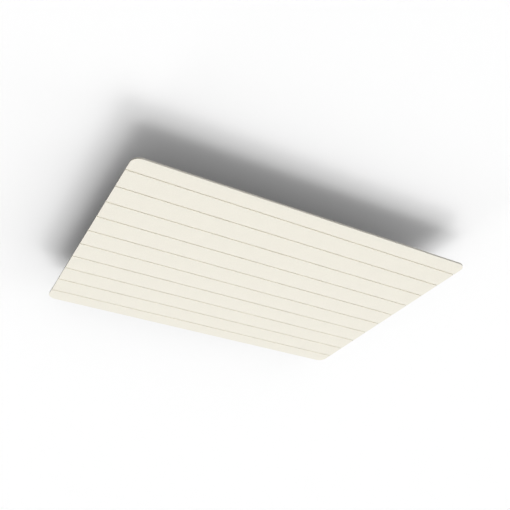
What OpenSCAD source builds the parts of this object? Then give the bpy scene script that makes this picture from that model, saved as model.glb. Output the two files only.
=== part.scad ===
// Suspended acoustic ceiling panel: a thin grooved felt board with rounded corners, stiffened and
// hung by an aluminium grid on its hidden back. The origin is the centre of the visible lower face,
// +X runs along the panel, +Y across it and +Z up to the ceiling.

/* [Felt board] */
// Length of the board, along the grooves
panel_length = 1600; // [1200:50:2000]
// Width of the board, across the grooves
panel_width = 1200; // [900:50:1500]
// Thickness of the pressed felt
panel_thickness = 7.5; // [7:0.5:24]
// Radius of the board's four corners
corner_radius = 40; // [10:5:80]

/* [Grooves] */
// Distance from groove to groove
groove_pitch = 114.3; // [80:0.1:140]
// Least width of the strip outside the first and the last groove
edge_strip_min = 60; // [40:5:80]
// Width of a groove at the visible face
groove_mouth = 6.4; // [4:0.2:8]
// Width of a groove at its floor
groove_floor = 6; // [2:0.2:6.4]
// Depth of a groove
groove_depth = 5; // [2:0.5:6.5]

/* [Cross rails] */
// Distance from the board's long edge to the end of a cross rail
cross_rail_inset = 70; // [60:5:100]
// Distance from a carrier's end to the centre line of the outermost cross rail
cross_rail_end_offset = 100; // [60:5:140]
// Width over the two screw flanges of a cross rail
flange_width = 60; // [56:1:80]
// Thickness of a screw flange and of a cross rail's floor
flange_thickness = 1.6; // [1.2:0.1:2.5]
// Height of a cross rail
cross_rail_height = 15; // [14:1:20]

/* [Carriers] */
// Distance from the board's short edge to the end of a carrier
carrier_inset = 100; // [80:5:140]
// Distance from a cross rail's end to a carrier's centre line
carrier_offset = 180; // [120:5:240]
// Height of a carrier
carrier_height = 20; // [18:1:24]

/* [Channel section] */
// Outer width of the channels
channel_width = 28; // [26:0.5:34]
// Wall thickness of the channels
channel_wall = 1.8; // [1.4:0.1:2.4]
// Thickness of the lips beside a slot
lip_thickness = 2; // [1.6:0.1:3]
// Width of the slot between the lips
slot_width = 12; // [11:0.5:14]
// Outer radius beside the lips
lip_radius = 1; // [0.5:0.1:1.5]

/* [Hangers] */
// Distance from a carrier's end to a hanger hole
hanger_end_offset = 200; // [160:5:240]
// Tapping size of the M6 hanger hole
hanger_hole_d = 5; // [4:0.1:6]
// Length of a hanger nut
hanger_nut_length = 40; // [34:1:50]
// Thickness of a hanger nut under the lips
hanger_nut_plate = 6; // [4:0.5:8]
// Height of a hanger nut's neck above the lips
hanger_neck_rise = 4; // [2:0.5:8]
// Distance between the hanger hole and the lock screw
lock_screw_offset = 12; // [10:0.5:14]
// Diameter of the lock screw
lock_screw_d = 5; // [4:0.5:6]
// Length of the lock screw
lock_screw_length = 20; // [18:0.5:22]
// Width across the flats of the lock screw's socket
lock_screw_key = 2.5; // [2:0.5:3]

/* [Crossing fasteners] */
// Length of a crossing nut
crossing_nut_length = 20; // [16:1:26]
// Thickness of a crossing nut under the lips
crossing_nut_plate = 5; // [4:0.5:7]
// Diameter of a crossing screw
crossing_screw_d = 6; // [5:0.5:6]
// Length of a crossing screw under its head
crossing_screw_length = 12; // [10:0.5:13]
// Head diameter of a crossing screw
crossing_head_d = 10.5; // [9:0.5:11]
// Head height of a crossing screw
crossing_head_h = 3.3; // [2.5:0.1:4]
// Width across the flats of a crossing screw's socket
crossing_screw_key = 4; // [3:0.5:4]

/* [Rail screws] */
// Diameter of a rail screw
rail_screw_d = 3.5; // [3:0.1:4.5]
// Length of a rail screw under its head
rail_screw_length = 7; // [5:0.5:8.5]
// Length of a rail screw's point
rail_screw_point = 2; // [1:0.5:3]
// Head diameter of a rail screw
rail_head_d = 8; // [7:0.5:9]
// Head height of a rail screw
rail_head_h = 2.4; // [1.8:0.1:3]
// Distance from a cross rail's centre line to its screws
rail_screw_offset = 22; // [20:0.5:24]
// Strips between one row of rail screws and the next
rail_screw_step = 2; // [1:1:3]
// Least distance from a cross rail's end to a screw
rail_screw_end_min = 30; // [20:5:60]

/* [Clearances] */
// Gap between a nut and each side of its channel
nut_clearance = 0.5; // [0.3:0.1:1]
// Gap between a nut's neck and each lip
neck_clearance = 0.3; // [0.2:0.1:0.6]
// Gap around a screw in a plain hole
hole_clearance = 0.3; // [0.2:0.1:0.6]

/* [Hidden] */
$fn = 48;
// How far a cutting shape runs past the face it cuts
cut = 1;
// Depth of a screw's drive recess, as a share of its head's height
recess_share = 0.6;
// Width and reach of the cross recess, as shares of the head's diameter
cross_slot_share = 0.16;
cross_reach_share = 0.55;
// Depth of the lock screw's socket
lock_socket_depth = 4;

// Number of rails across the grooves, each of which is a node of its own
cross_rail_count = 4;

groove_count = floor((panel_width - 2 * edge_strip_min) / groove_pitch) + 1;
groove_first_y = -(groove_count - 1) * groove_pitch / 2;
groove_ys = [for (i = [0:groove_count - 1]) groove_first_y + i * groove_pitch];

back_z = panel_thickness;
cross_rail_length = panel_width - 2 * cross_rail_inset;
cross_rail_top_z = back_z + cross_rail_height;
carrier_length = panel_length - 2 * carrier_inset;
cross_rail_reach = carrier_length - 2 * cross_rail_end_offset;
cross_rail_xs = [
    for (i = [0:cross_rail_count - 1]) (i / (cross_rail_count - 1) - 0.5) * cross_rail_reach
];
carrier_y = cross_rail_length / 2 - carrier_offset;
carrier_ys = [-carrier_y, carrier_y];
carrier_floor_z = cross_rail_top_z + channel_wall;
carrier_lip_z = cross_rail_top_z + carrier_height - lip_thickness;
crossing_lip_z = cross_rail_top_z - lip_thickness;
hanger_x = carrier_length / 2 - hanger_end_offset;

// Rail screws stand in the middle of a strip, clear of the grooves
strip_ys = [
    for (i = [0:rail_screw_step:groove_count - 2]) groove_ys[i] + groove_pitch / 2
];
rail_screw_ys = [for (y = strip_ys) if (abs(y) <= cross_rail_length / 2 - rail_screw_end_min) y];
rail_screw_xs = [for (x = cross_rail_xs) for (side = [-1, 1]) x + side * rail_screw_offset];

nut_width = channel_width - 2 * channel_wall - 2 * nut_clearance;
neck_width = slot_width - 2 * neck_clearance;
crossing_neck_height = lip_thickness - neck_clearance;

// Board outline with round corners, centred on the origin
module board_outline(length, width, radius) {
    square([length - 2 * radius, width], center = true);
    square([length, width - 2 * radius], center = true);
    for (x = [-1, 1]) for (y = [-1, 1])
        translate([x * (length / 2 - radius), y * (width / 2 - radius)])
            circle(r = radius);
}

// Cutter for one groove along X, whose walls lean in from the mouth to the floor
module groove_cutter() {
    rotate([90, 0, 90])
        linear_extrude(panel_length + 2 * cut, center = true)
            polygon([
                [-groove_mouth / 2, -cut],
                [groove_mouth / 2, -cut],
                [groove_mouth / 2, 0],
                [groove_floor / 2, groove_depth],
                [-groove_floor / 2, groove_depth],
                [-groove_mouth / 2, 0]
            ]);
}

// Section of a lipped channel that stands on Y = 0, with flanges where it is wider at its foot
module channel_section(foot_width, foot_thickness, height) {
    inner_width = channel_width - 2 * channel_wall;
    difference() {
        union() {
            translate([-foot_width / 2, 0])
                square([foot_width, foot_thickness]);
            translate([-channel_width / 2, 0])
                square([channel_width, height - lip_radius]);
            translate([-channel_width / 2 + lip_radius, 0])
                square([channel_width - 2 * lip_radius, height]);
            for (side = [-1, 1])
                translate([side * (channel_width / 2 - lip_radius), height - lip_radius])
                    circle(r = lip_radius);
        }
        translate([-inner_width / 2, foot_thickness])
            square([inner_width, height - foot_thickness - lip_thickness]);
        translate([-slot_width / 2, height - lip_thickness - cut])
            square([slot_width, lip_thickness + 2 * cut]);
    }
}

// Nut with a plate under the lips and a neck in the slot, along X, its plate's top at Z = 0
module slot_nut(length, plate, neck_height) {
    translate([-length / 2, -nut_width / 2, -plate])
        cube([length, nut_width, plate]);
    translate([-length / 2, -neck_width / 2, -plate])
        cube([length, neck_width, plate + neck_height]);
}

// Domed screw head that stands on Z = 0
module domed_head(diameter, height) {
    dome_radius = (pow(diameter / 2, 2) + pow(height, 2)) / (2 * height);
    intersection() {
        translate([0, 0, height - dome_radius])
            sphere(r = dome_radius);
        cylinder(d = diameter, h = height);
    }
}

// Pointed shank of a rail screw, down from Z = 0
module rail_shank() {
    straight = rail_screw_length - rail_screw_point;
    translate([0, 0, -straight])
        cylinder(d = rail_screw_d, h = straight);
    translate([0, 0, -rail_screw_length])
        cylinder(d1 = 0, d2 = rail_screw_d, h = rail_screw_point);
}

module at_rail_screws() {
    for (x = rail_screw_xs) for (y = rail_screw_ys)
        translate([x, y, back_z + flange_thickness])
            children();
}

module at_crossings() {
    for (x = cross_rail_xs) for (y = carrier_ys)
        translate([x, y, 0])
            children();
}

// Grooved felt board, with the screws' own holes in its back
module acoustic_panel() {
    color("ivory")
        difference() {
            linear_extrude(panel_thickness)
                board_outline(panel_length, panel_width, corner_radius);
            for (y = groove_ys)
                translate([0, y, 0])
                    groove_cutter();
            at_rail_screws()
                rail_shank();
        }
}

// Flanged channel across the grooves, screwed to the back of the board
module cross_rail(x) {
    color("silver")
        difference() {
            translate([x, 0, back_z])
                rotate([90, 0, 0])
                    linear_extrude(cross_rail_length, center = true)
                        channel_section(flange_width, flange_thickness, cross_rail_height);
            for (side = [-1, 1]) for (y = rail_screw_ys)
                translate([x + side * rail_screw_offset, y, back_z - cut])
                    cylinder(d = rail_screw_d + 2 * hole_clearance, h = flange_thickness + 2 * cut);
        }
}

// Channel along the panel, bolted down on every cross rail
module carrier(y) {
    color("silver")
        difference() {
            translate([0, y, cross_rail_top_z])
                rotate([90, 0, 90])
                    linear_extrude(carrier_length, center = true)
                        channel_section(channel_width, channel_wall, carrier_height);
            for (x = cross_rail_xs)
                translate([x, y, cross_rail_top_z - cut])
                    cylinder(d = crossing_screw_d + 2 * hole_clearance, h = channel_wall + 2 * cut);
        }
}

// Pan-head screws with a cross recess, through the flanges into the felt
module rail_screws() {
    color("gainsboro")
        at_rail_screws() {
            difference() {
                domed_head(rail_head_d, rail_head_h);
                for (turn = [0, 90])
                    rotate(turn)
                        translate([0, 0, rail_head_h])
                            cube([
                                rail_head_d * cross_reach_share,
                                rail_head_d * cross_slot_share,
                                2 * rail_head_h * recess_share
                            ], center = true);
            }
            rail_shank();
        }
}

// Nuts in the cross rails' slots, under the carriers
module crossing_slide_nuts() {
    color("gainsboro")
        at_crossings()
            translate([0, 0, crossing_lip_z])
                rotate(90)
                    difference() {
                        slot_nut(crossing_nut_length, crossing_nut_plate, crossing_neck_height);
                        translate([0, 0, -crossing_nut_plate - cut])
                            cylinder(
                                d = crossing_screw_d,
                                h = crossing_nut_plate + crossing_neck_height + 2 * cut
                            );
                    }
}

// Button-head screws, dropped through the carriers' slots
module crossing_screws() {
    color("gainsboro")
        at_crossings()
            translate([0, 0, carrier_floor_z]) {
                difference() {
                    domed_head(crossing_head_d, crossing_head_h);
                    translate([0, 0, crossing_head_h * (1 - recess_share)])
                        cylinder(d = crossing_screw_key / cos(30), h = crossing_head_h, $fn = 6);
                }
                translate([0, 0, -crossing_screw_length])
                    cylinder(d = crossing_screw_d, h = crossing_screw_length);
            }
}

// Nut in a carrier's slot, tapped for the suspension and for its own lock screw
module hanger_nut(x_side, y_side) {
    neck_height = lip_thickness + hanger_neck_rise;
    hole_height = hanger_nut_plate + neck_height + 2 * cut;
    color("gainsboro")
        translate([x_side * hanger_x, y_side * carrier_y, carrier_lip_z])
            difference() {
                slot_nut(hanger_nut_length, hanger_nut_plate, neck_height);
                translate([0, 0, -hanger_nut_plate - cut])
                    cylinder(d = hanger_hole_d, h = hole_height);
                translate([-x_side * lock_screw_offset, 0, -hanger_nut_plate - cut])
                    cylinder(d = lock_screw_d, h = hole_height);
            }
}

// Grub screws that stand on the carriers' floors and press the nuts against the lips
module lock_screws() {
    color("dimgray")
        for (x_side = [-1, 1]) for (y = carrier_ys)
            translate([x_side * (hanger_x - lock_screw_offset), y, carrier_floor_z])
                difference() {
                    cylinder(d = lock_screw_d, h = lock_screw_length);
                    translate([0, 0, lock_screw_length - lock_socket_depth])
                        cylinder(d = lock_screw_key / cos(30), h = lock_socket_depth + cut, $fn = 6);
                }
}

acoustic_panel();
cross_rail(cross_rail_xs[0]);  // cross_rail_left
cross_rail(cross_rail_xs[1]);  // cross_rail_mid_left
cross_rail(cross_rail_xs[2]);  // cross_rail_mid_right
cross_rail(cross_rail_xs[3]);  // cross_rail_right
rail_screws();
carrier(-carrier_y);  // carrier_front
carrier(carrier_y);  // carrier_rear
crossing_slide_nuts();
crossing_screws();
hanger_nut(-1, -1);  // hanger_nut_front_left
hanger_nut(1, -1);  // hanger_nut_front_right
hanger_nut(-1, 1);  // hanger_nut_rear_left
hanger_nut(1, 1);  // hanger_nut_rear_right
lock_screws();
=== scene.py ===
"""Dresses the suspended felt ceiling panel, hangs it under a white ceiling and lights it."""
import math

import bpy
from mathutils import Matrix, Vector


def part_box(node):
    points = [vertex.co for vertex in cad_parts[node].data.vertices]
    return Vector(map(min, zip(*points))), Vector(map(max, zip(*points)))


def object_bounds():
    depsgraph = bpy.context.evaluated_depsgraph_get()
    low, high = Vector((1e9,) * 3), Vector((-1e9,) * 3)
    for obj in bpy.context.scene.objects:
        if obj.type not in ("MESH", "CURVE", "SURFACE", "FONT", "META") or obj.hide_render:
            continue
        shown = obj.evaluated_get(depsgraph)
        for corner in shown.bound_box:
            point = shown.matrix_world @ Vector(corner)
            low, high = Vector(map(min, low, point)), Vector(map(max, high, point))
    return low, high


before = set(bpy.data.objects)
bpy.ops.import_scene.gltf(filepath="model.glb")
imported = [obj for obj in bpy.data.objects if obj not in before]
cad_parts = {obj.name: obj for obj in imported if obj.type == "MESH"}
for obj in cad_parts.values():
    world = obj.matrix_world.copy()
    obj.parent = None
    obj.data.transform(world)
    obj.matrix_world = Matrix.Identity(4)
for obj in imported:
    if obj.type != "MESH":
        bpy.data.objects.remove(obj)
cad_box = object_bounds()

# Camera, in metres and degrees, in the part's frame
CAMERA_PLACE = (-1.3616, -2.5522, -1.6835)
CAMERA_PITCH = 32.4
CAMERA_HEADING = 28.62
CAMERA_LENS = 50.0
CAMERA_SENSOR = 36.0
CAMERA_REACH = 200.0

# Room: the ceiling hangs this far above the board's back, the floor this far below its face
CEILING_GAP = 0.17
FLOOR_DROP = 2.4
CEILING_HALF = 40.0
FLOOR_HALF = 80.0
CEILING_PAINT = 0.995
FLOOR_PAINT = 0.97
STOP_PAINT = 0.0

# Light from below: an even dome and soft lobes, each a strength, a centre and a width, where the
# centre and the width are measured on the unit disc of directions as seen from straight above.
# They stand straight below, at the right rear, and low in front, at the right front, behind and
# at the right
DOME = 0.235
LOBES = (
    (4.0, (0.07, 0.04), 0.19),
    (8.4, (0.44, 0.50), 0.12),
    (6.0, (-0.23, -1.02), 0.14),
    (4.8, (0.85, -0.80), 0.21),
    (4.6, (-0.07, 0.95), 0.08),
    (4.6, (1.10, 0.20), 0.15),
)

# Light from above, which falls on the back of the panel, in the same terms
SKY = 0.08
SKY_LOBES = (
    (3.0, (0.05, 0.40), 0.30),
    (2.5, (0.15, 0.15), 0.30),
)
WHITE = (1.0, 1.0, 1.0, 1.0)

# The light stop lies this far off what it covers, and its slopes end this far beside the rails
STOP_GAP = 0.001
STOP_MARGIN = 0.01

# Felt: its colour, the cells to the metre along X, Y and Z of each layer, and how far the layer
# swings the tone. The most of three noises lies above the middle of one by the rise of the fibres
FELT_CREAM = (0.872, 0.840, 0.744, 1.0)
CLOUD_CELLS = (14.0, 14.0, 40.0)
CLOUD_SWING = 0.018
CLUMP_CELLS = (220.0, 220.0, 900.0)
CLUMP_SWING = 0.05
FIBRE_CELLS = (190.0, 1000.0, 2400.0)
FIBRE_TURNS = (17.0, 74.0, 131.0)
FIBRE_CURL = 0.9
FIBRE_RISE = 0.1
FIBRE_SWING = 0.12

# Needle marks: cells to the metre, the inner and outer reach of a mark in cells, the tones inside
# and outside it, and its share of the relief
NEEDLE_CELLS = 360.0
NEEDLE_REACH = (0.04, 0.24)
NEEDLE_TONES = (0.962, 1.002)
NEEDLE_RELIEF = 0.4
FELT_ROUGHNESS = (0.86, 0.98)
FELT_RELIEF = 0.0004
FELT_BUMP = 0.6
FELT_SPECULAR = 0.2
FELT_SHEEN = 0.05
FELT_SHEEN_ROUGHNESS = 0.6

# Painted shade on the cut felt: how far its colour is darkened in the grooves and on the outer edges,
# standing in for the shade that falls there. An outer edge lies within this reach of the board's end and
# faces out this squarely, and a cut starts this far off the face and the back
GROOVE_PAINTED_SHADE = 0.98
EDGE_PAINTED_SHADE = 0.67
EDGE_REACH = 0.05
EDGE_FACING = 0.5
FACE_SKIN = 0.0001

# Aluminium: die lines run along the channel, and saw marks cross its ends, which are the faces
# that look along it this squarely
ALUMINIUM = (0.62, 0.63, 0.645, 1.0)
DIE_CELLS = {"X": (3.0, 2600.0, 2600.0), "Y": (2600.0, 3.0, 2600.0)}
SAW_CELLS = {"X": (900.0, 60.0, 2200.0), "Y": (60.0, 900.0, 2200.0)}
END_FACING = 0.7
LINE_SWING = 0.05
HAZE_CELLS = (9.0, 9.0, 30.0)
HAZE_SWING = 0.04
LINE_ROUGHNESS = (0.27, 0.41)
HAZE_ROUGHNESS = 0.1
END_ROUGHNESS = 0.12
ALUMINIUM_RELIEF = 0.00004
ALUMINIUM_BUMP = 0.4
ALUMINIUM_ANISOTROPY = 0.3

# Zinc plate: cool and warm patches, and tumbling marks
ZINC_COOL = (0.66, 0.68, 0.71, 1.0)
ZINC_WARM = (0.74, 0.72, 0.66, 1.0)
PATCH_CELLS = (160.0, 160.0, 160.0)
MARK_CELLS = (1400.0, 1400.0, 1400.0)
MARK_SWING = 0.08
ZINC_ROUGHNESS = (0.22, 0.42)
ZINC_RELIEF = 0.00005
ZINC_BUMP = 0.4

# Black oxide: grain, and places that handling has rubbed
BLACK_OXIDE = (0.045, 0.045, 0.05, 1.0)
GRAIN_CELLS = (1800.0, 1800.0, 1800.0)
RUBBED_CELLS = (300.0, 300.0, 300.0)
RUBBED_SWING = 0.5
OXIDE_ROUGHNESS = (0.35, 0.6)
OXIDE_METALLIC = 0.6
OXIDE_RELIEF = 0.00004
OXIDE_BUMP = 0.5

# Places of a Mix node's inputs, and of its output for colours
MIX_SHARE = 0
MIX_VALUES = (2, 3)
MIX_COLOURS = (6, 7)
MIX_COLOUR_OUT = 2

CROSS_RAILS = [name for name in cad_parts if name.startswith("cross_rail")]
CARRIERS = [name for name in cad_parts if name.startswith("carrier")]
PLATED = [
    name
    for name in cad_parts
    if name.startswith("hanger_nut") or name in ("crossing_slide_nuts", "crossing_screws", "rail_screws")
]


def add(tree, kind, inputs=None, **settings):
    """A new node, with its settings and with values or links for its inputs."""
    node = tree.nodes.new(kind)
    for key, value in settings.items():
        setattr(node, key, value)
    for key, value in (inputs or {}).items():
        if isinstance(value, bpy.types.NodeSocket):
            tree.links.new(value, node.inputs[key])
        else:
            node.inputs[key].default_value = value
    return node


def calc(tree, operation, *values):
    """The output of a Math node."""
    return add(tree, "ShaderNodeMath", dict(enumerate(values)), operation=operation).outputs[0]


def spread(tree, value, low, high):
    """Turns a value from 0 to 1 into one from low to high."""
    return calc(tree, "MULTIPLY_ADD", value, high - low, low)


def about_one(tree, value, swing):
    """Turns noise about 0.5 into a factor about 1, which swings by so much."""
    return spread(tree, value, 1.0 - swing, 1.0 + swing)


def axes(tree, vector):
    """The X, Y and Z of a vector."""
    return add(tree, "ShaderNodeSeparateXYZ", {"Vector": vector}).outputs


def blend_value(tree, share, first, second):
    """The mix of two values."""
    inputs = {MIX_SHARE: share, MIX_VALUES[0]: first, MIX_VALUES[1]: second}
    return add(tree, "ShaderNodeMix", inputs).outputs[0]


def blend_colour(tree, share, first, second, mode="MIX"):
    """The mix of two colours."""
    inputs = {MIX_SHARE: share, MIX_COLOURS[0]: first, MIX_COLOURS[1]: second}
    node = add(tree, "ShaderNodeMix", inputs, data_type="RGBA", blend_type=mode)
    return node.outputs[MIX_COLOUR_OUT]


def blend_shader(tree, share, first, second):
    """The mix of two shaders."""
    return add(tree, "ShaderNodeMixShader", {0: share, 1: first, 2: second}).outputs[0]


def tint(tree, colour, factor):
    """A colour times a grey factor."""
    return blend_colour(tree, 1.0, colour, factor, mode="MULTIPLY")


def noise(tree, place, cells, detail=2.0, turn=0.0, curl=0.0):
    """Noise from 0 to 1, with so many cells to the metre along X, Y and Z, turned about Z and curled."""
    inputs = {"Vector": place, "Rotation": (0.0, 0.0, math.radians(turn)), "Scale": cells}
    scaled = add(tree, "ShaderNodeMapping", inputs).outputs[0]
    inputs = {"Vector": scaled, "Scale": 1.0, "Detail": detail, "Distortion": curl}
    return add(tree, "ShaderNodeTexNoise", inputs).outputs["Fac"]


def bump(tree, height, distance, strength):
    """The normal of a bump whose full height is the distance in metres."""
    inputs = {"Height": height, "Distance": distance, "Strength": strength}
    return add(tree, "ShaderNodeBump", inputs).outputs["Normal"]


def new_material(name):
    """An empty material, its node tree, the shader and the place on the part in metres."""
    material = bpy.data.materials.new(name)
    material.use_nodes = True
    tree = material.node_tree
    tree.nodes.clear()
    shader = add(tree, "ShaderNodeBsdfPrincipled")
    add(tree, "ShaderNodeOutputMaterial", {"Surface": shader.outputs[0]})
    place = add(tree, "ShaderNodeTexCoord").outputs["Object"]
    return material, tree, shader, place


def link(tree, shader, **sockets):
    """Links outputs to the shader's inputs, whose spaces are written as underscores."""
    for name, output in sockets.items():
        tree.links.new(output, shader.inputs[name.replace("_", " ")])


def painted_cut_shade(tree, place):
    """Painted shade: the felt's colour darkened a little in the milled grooves and more on the knifed
    outer edges, where shade falls.
    """
    facing = axes(tree, add(tree, "ShaderNodeNewGeometry").outputs["Normal"])
    distance = axes(tree, place)
    board_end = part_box("acoustic_panel")[1]
    edges = []
    # Painted shade on the outer edges: faces that look out near the board's ends come out much darker
    for axis, half in enumerate(board_end.xy):
        faces_out = calc(tree, "GREATER_THAN", calc(tree, "ABSOLUTE", facing[axis]), EDGE_FACING)
        far_out = calc(tree, "ABSOLUTE", distance[axis])
        far_out = calc(tree, "GREATER_THAN", far_out, half - EDGE_REACH)
        edges.append(calc(tree, "MULTIPLY", faces_out, far_out))
    edge_shade = spread(tree, calc(tree, "MAXIMUM", *edges), 1.0, EDGE_PAINTED_SHADE)
    # Painted shade in the grooves: cut faces between the face and the back come out a little darker
    above_face = calc(tree, "GREATER_THAN", distance["Z"], FACE_SKIN)
    below_back = calc(tree, "LESS_THAN", distance["Z"], board_end.z - FACE_SKIN)
    groove_shade = spread(tree, calc(tree, "MULTIPLY", above_face, below_back), 1.0, GROOVE_PAINTED_SHADE)
    return calc(tree, "MINIMUM", groove_shade, edge_shade)


def felt_material():
    """Cream needled felt: clouds, clumps, fine crossing fibres and needle marks, and painted shade in
    the grooves and on the outer edges.
    """
    material, tree, shader, place = new_material("felt")
    clouds = noise(tree, place, CLOUD_CELLS, detail=3.0)
    clumps = noise(tree, place, CLUMP_CELLS, detail=3.0)
    fibres, *crossing = [
        noise(tree, place, FIBRE_CELLS, turn=turn, curl=FIBRE_CURL) for turn in FIBRE_TURNS
    ]
    for layer in crossing:
        fibres = calc(tree, "MAXIMUM", fibres, layer)
    inputs = {"Vector": place, "Scale": NEEDLE_CELLS, "Randomness": 1.0}
    spacing = add(tree, "ShaderNodeTexVoronoi", inputs).outputs["Distance"]
    inputs = {"Value": spacing, "From Min": NEEDLE_REACH[0], "From Max": NEEDLE_REACH[1]}
    unpierced = add(tree, "ShaderNodeMapRange", inputs).outputs[0]

    tones = (
        about_one(tree, clouds, CLOUD_SWING),
        about_one(tree, clumps, CLUMP_SWING),
        about_one(tree, calc(tree, "SUBTRACT", fibres, FIBRE_RISE), FIBRE_SWING),
        spread(tree, unpierced, *NEEDLE_TONES),
    )
    # Painted shade in the grooves and on the outer edges, multiplied into the felt's own tones
    factor = painted_cut_shade(tree, place)
    for tone in tones:
        factor = calc(tree, "MULTIPLY", factor, tone)
    relief = calc(tree, "ADD", fibres, clumps)
    relief = calc(tree, "MULTIPLY_ADD", unpierced, NEEDLE_RELIEF, relief)
    link(
        tree,
        shader,
        Base_Color=tint(tree, FELT_CREAM, factor),
        Roughness=spread(tree, clumps, *FELT_ROUGHNESS),
        Normal=bump(tree, relief, FELT_RELIEF, FELT_BUMP),
    )
    shader.inputs["Specular IOR Level"].default_value = FELT_SPECULAR
    shader.inputs["Sheen Weight"].default_value = FELT_SHEEN
    shader.inputs["Sheen Roughness"].default_value = FELT_SHEEN_ROUGHNESS
    return material


def aluminium_material(name, along):
    """Mill-finish extrusion: die lines along its length, and saw marks on its cut ends."""
    material, tree, shader, place = new_material(name)
    lines = noise(tree, place, DIE_CELLS[along], detail=3.0)
    marks = noise(tree, place, SAW_CELLS[along])
    facing = axes(tree, add(tree, "ShaderNodeNewGeometry").outputs["Normal"])[along]
    end = calc(tree, "GREATER_THAN", calc(tree, "ABSOLUTE", facing), END_FACING)
    pattern = blend_value(tree, end, lines, marks)
    haze = noise(tree, place, HAZE_CELLS, detail=4.0)
    factor = about_one(tree, pattern, LINE_SWING)
    factor = calc(tree, "MULTIPLY", factor, about_one(tree, haze, HAZE_SWING))
    roughness = spread(tree, pattern, *LINE_ROUGHNESS)
    roughness = calc(tree, "MULTIPLY_ADD", haze, HAZE_ROUGHNESS, roughness)
    link(
        tree,
        shader,
        Base_Color=tint(tree, ALUMINIUM, factor),
        Roughness=calc(tree, "MULTIPLY_ADD", end, END_ROUGHNESS, roughness),
        Normal=bump(tree, pattern, ALUMINIUM_RELIEF, ALUMINIUM_BUMP),
    )
    shader.inputs["Metallic"].default_value = 1.0
    shader.inputs["Anisotropic"].default_value = ALUMINIUM_ANISOTROPY
    return material


def plated_material():
    """Bright zinc plate with faint cool and warm patches and tumbling marks."""
    material, tree, shader, place = new_material("plated_steel")
    patches = noise(tree, place, PATCH_CELLS, detail=3.0)
    marks = noise(tree, place, MARK_CELLS, detail=3.0)
    colour = blend_colour(tree, patches, ZINC_COOL, ZINC_WARM)
    link(
        tree,
        shader,
        Base_Color=tint(tree, colour, about_one(tree, marks, MARK_SWING)),
        Roughness=spread(tree, marks, *ZINC_ROUGHNESS),
        Normal=bump(tree, marks, ZINC_RELIEF, ZINC_BUMP),
    )
    shader.inputs["Metallic"].default_value = 1.0
    return material


def oxide_material():
    """Black oxide on steel, a little brighter where handling has rubbed it."""
    material, tree, shader, place = new_material("dark_steel")
    grain = noise(tree, place, GRAIN_CELLS, detail=3.0)
    rubbed = noise(tree, place, RUBBED_CELLS)
    link(
        tree,
        shader,
        Base_Color=tint(tree, BLACK_OXIDE, about_one(tree, rubbed, RUBBED_SWING)),
        Roughness=spread(tree, grain, *OXIDE_ROUGHNESS),
        Normal=bump(tree, grain, OXIDE_RELIEF, OXIDE_BUMP),
    )
    shader.inputs["Metallic"].default_value = OXIDE_METALLIC
    return material


def dress(names, material):
    """Gives the named nodes one material."""
    for name in names:
        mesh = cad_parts[name].data
        mesh.materials.clear()
        mesh.materials.append(material)


def stage_material(name, paint):
    """Matt grey paint on the sheet's front, and nothing on its back, so that it never hides the part."""
    material = bpy.data.materials.new(name)
    material.use_nodes = True
    tree = material.node_tree
    tree.nodes.clear()
    back = add(tree, "ShaderNodeNewGeometry").outputs["Backfacing"]
    front = add(tree, "ShaderNodeBsdfDiffuse", {"Color": (paint, paint, paint, 1.0)})
    clear = add(tree, "ShaderNodeBsdfTransparent")
    mixed = blend_shader(tree, back, front.outputs[0], clear.outputs[0])
    add(tree, "ShaderNodeOutputMaterial", {"Surface": mixed})
    return material


def stage_sheet(name, corners, faces, seen_by, paint):
    """A stage surface that only one kind of ray meets, so that all other light passes it."""
    mesh = bpy.data.meshes.new(name)
    mesh.from_pydata(corners, [], faces)
    mesh.materials.append(stage_material(name + "_paint", paint))
    sheet = bpy.data.objects.new(name, mesh)
    bpy.context.scene.collection.objects.link(sheet)
    for rays in ("camera", "shadow", "diffuse", "glossy", "transmission", "volume_scatter"):
        setattr(sheet, "visible_" + rays, rays == seen_by)


def rectangle(half_x, half_y, height):
    """Corners of a level rectangle about the part's centre, anticlockwise as seen from above."""
    return [(x * half_x, y * half_y, height) for x, y in ((-1, -1), (1, -1), (1, 1), (-1, 1))]


def build_stage():
    """The white ceiling that takes the panel's shadow, the pale floor, and the stop on the back."""
    board_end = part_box("acoustic_panel")[1]
    corners = rectangle(CEILING_HALF, CEILING_HALF, board_end.z + CEILING_GAP)
    stage_sheet("ceiling", corners, [(3, 2, 1, 0)], "camera", CEILING_PAINT)
    corners = rectangle(FLOOR_HALF, FLOOR_HALF, -FLOOR_DROP)
    stage_sheet("floor", corners, [(0, 1, 2, 3)], "camera", FLOOR_PAINT)

    # A lid over the back, black from outside and clear from inside: the lit back throws no light up
    # into the shadow
    far_x = max(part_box(name)[1].x for name in CARRIERS) + STOP_MARGIN
    far_y = max(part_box(name)[1].y for name in CROSS_RAILS) + STOP_MARGIN
    corners = rectangle(board_end.x, board_end.y, board_end.z + STOP_GAP)
    corners += rectangle(far_x, far_y, cad_box[1].z + STOP_GAP)
    faces = [(4, 5, 6, 7)] + [(i, (i + 1) % 4, 4 + (i + 1) % 4, 4 + i) for i in range(4)]
    stage_sheet("light_stop", corners, faces, "diffuse", STOP_PAINT)


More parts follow.
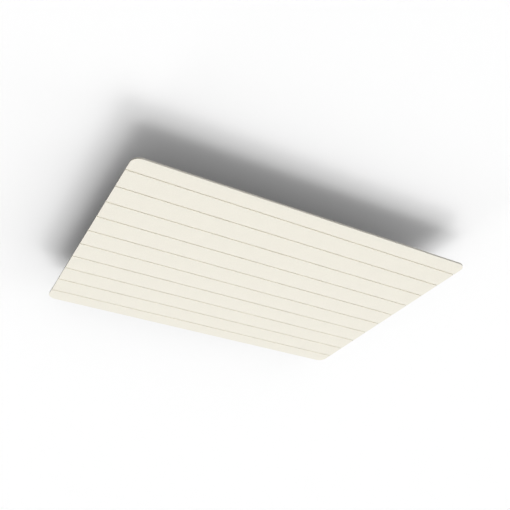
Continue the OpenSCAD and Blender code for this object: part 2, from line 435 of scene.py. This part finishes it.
def lit(tree, flat, level, lobes):
    """The level of light on the unit disc of directions: an even level and soft lobes."""
    for strength, centre, width in lobes:
        inputs = {0: flat, 1: (*centre, 0.0)}
        away = add(tree, "ShaderNodeVectorMath", inputs, operation="DISTANCE").outputs["Value"]
        falloff = calc(tree, "MULTIPLY", calc(tree, "POWER", away, 2.0), -0.5 / width**2)
        level = calc(tree, "MULTIPLY_ADD", calc(tree, "EXPONENT", falloff), strength, level)
    return level


def build_world():
    """Soft light from below and above, and plain white wherever the camera or a shiny surface looks."""
    world = bpy.data.worlds.new("studio")
    bpy.context.scene.world = world
    world.use_nodes = True
    tree = world.node_tree
    tree.nodes.clear()
    direction = axes(tree, add(tree, "ShaderNodeTexCoord").outputs["Generated"])
    flat = add(tree, "ShaderNodeCombineXYZ", {"X": direction["X"], "Y": direction["Y"]}).outputs[0]
    below = calc(tree, "LESS_THAN", direction["Z"], 0.0)
    level = blend_value(tree, below, lit(tree, flat, SKY, SKY_LOBES), lit(tree, flat, DOME, LOBES))
    light = add(tree, "ShaderNodeBackground", {"Color": WHITE, "Strength": level})
    white = add(tree, "ShaderNodeBackground", {"Color": WHITE, "Strength": 1.0})
    rays = add(tree, "ShaderNodeLightPath").outputs
    seen = calc(tree, "MAXIMUM", rays["Is Camera Ray"], rays["Is Glossy Ray"])
    seen = calc(tree, "MAXIMUM", seen, rays["Is Transmission Ray"])
    mixed = blend_shader(tree, seen, light.outputs[0], white.outputs[0])
    add(tree, "ShaderNodeOutputWorld", {"Surface": mixed})


def build_camera():
    """The photograph's view, up at the panel from below its near left corner."""
    data = bpy.data.cameras.new("camera")
    data.lens = CAMERA_LENS
    data.sensor_width = CAMERA_SENSOR
    data.clip_end = CAMERA_REACH
    camera = bpy.data.objects.new("camera", data)
    camera.location = CAMERA_PLACE
    camera.rotation_euler = (
        math.radians(90.0 + CAMERA_PITCH),
        0.0,
        -math.radians(CAMERA_HEADING),
    )
    bpy.context.scene.collection.objects.link(camera)
    bpy.context.scene.camera = camera


build_camera()
dress(["acoustic_panel"], felt_material())
dress(CROSS_RAILS, aluminium_material("rail_aluminium_across", "Y"))
dress(CARRIERS, aluminium_material("rail_aluminium_along", "X"))
dress(PLATED, plated_material())
dress(["lock_screws"], oxide_material())
build_stage()
build_world()
bpy.context.scene.view_settings.view_transform = "Standard"
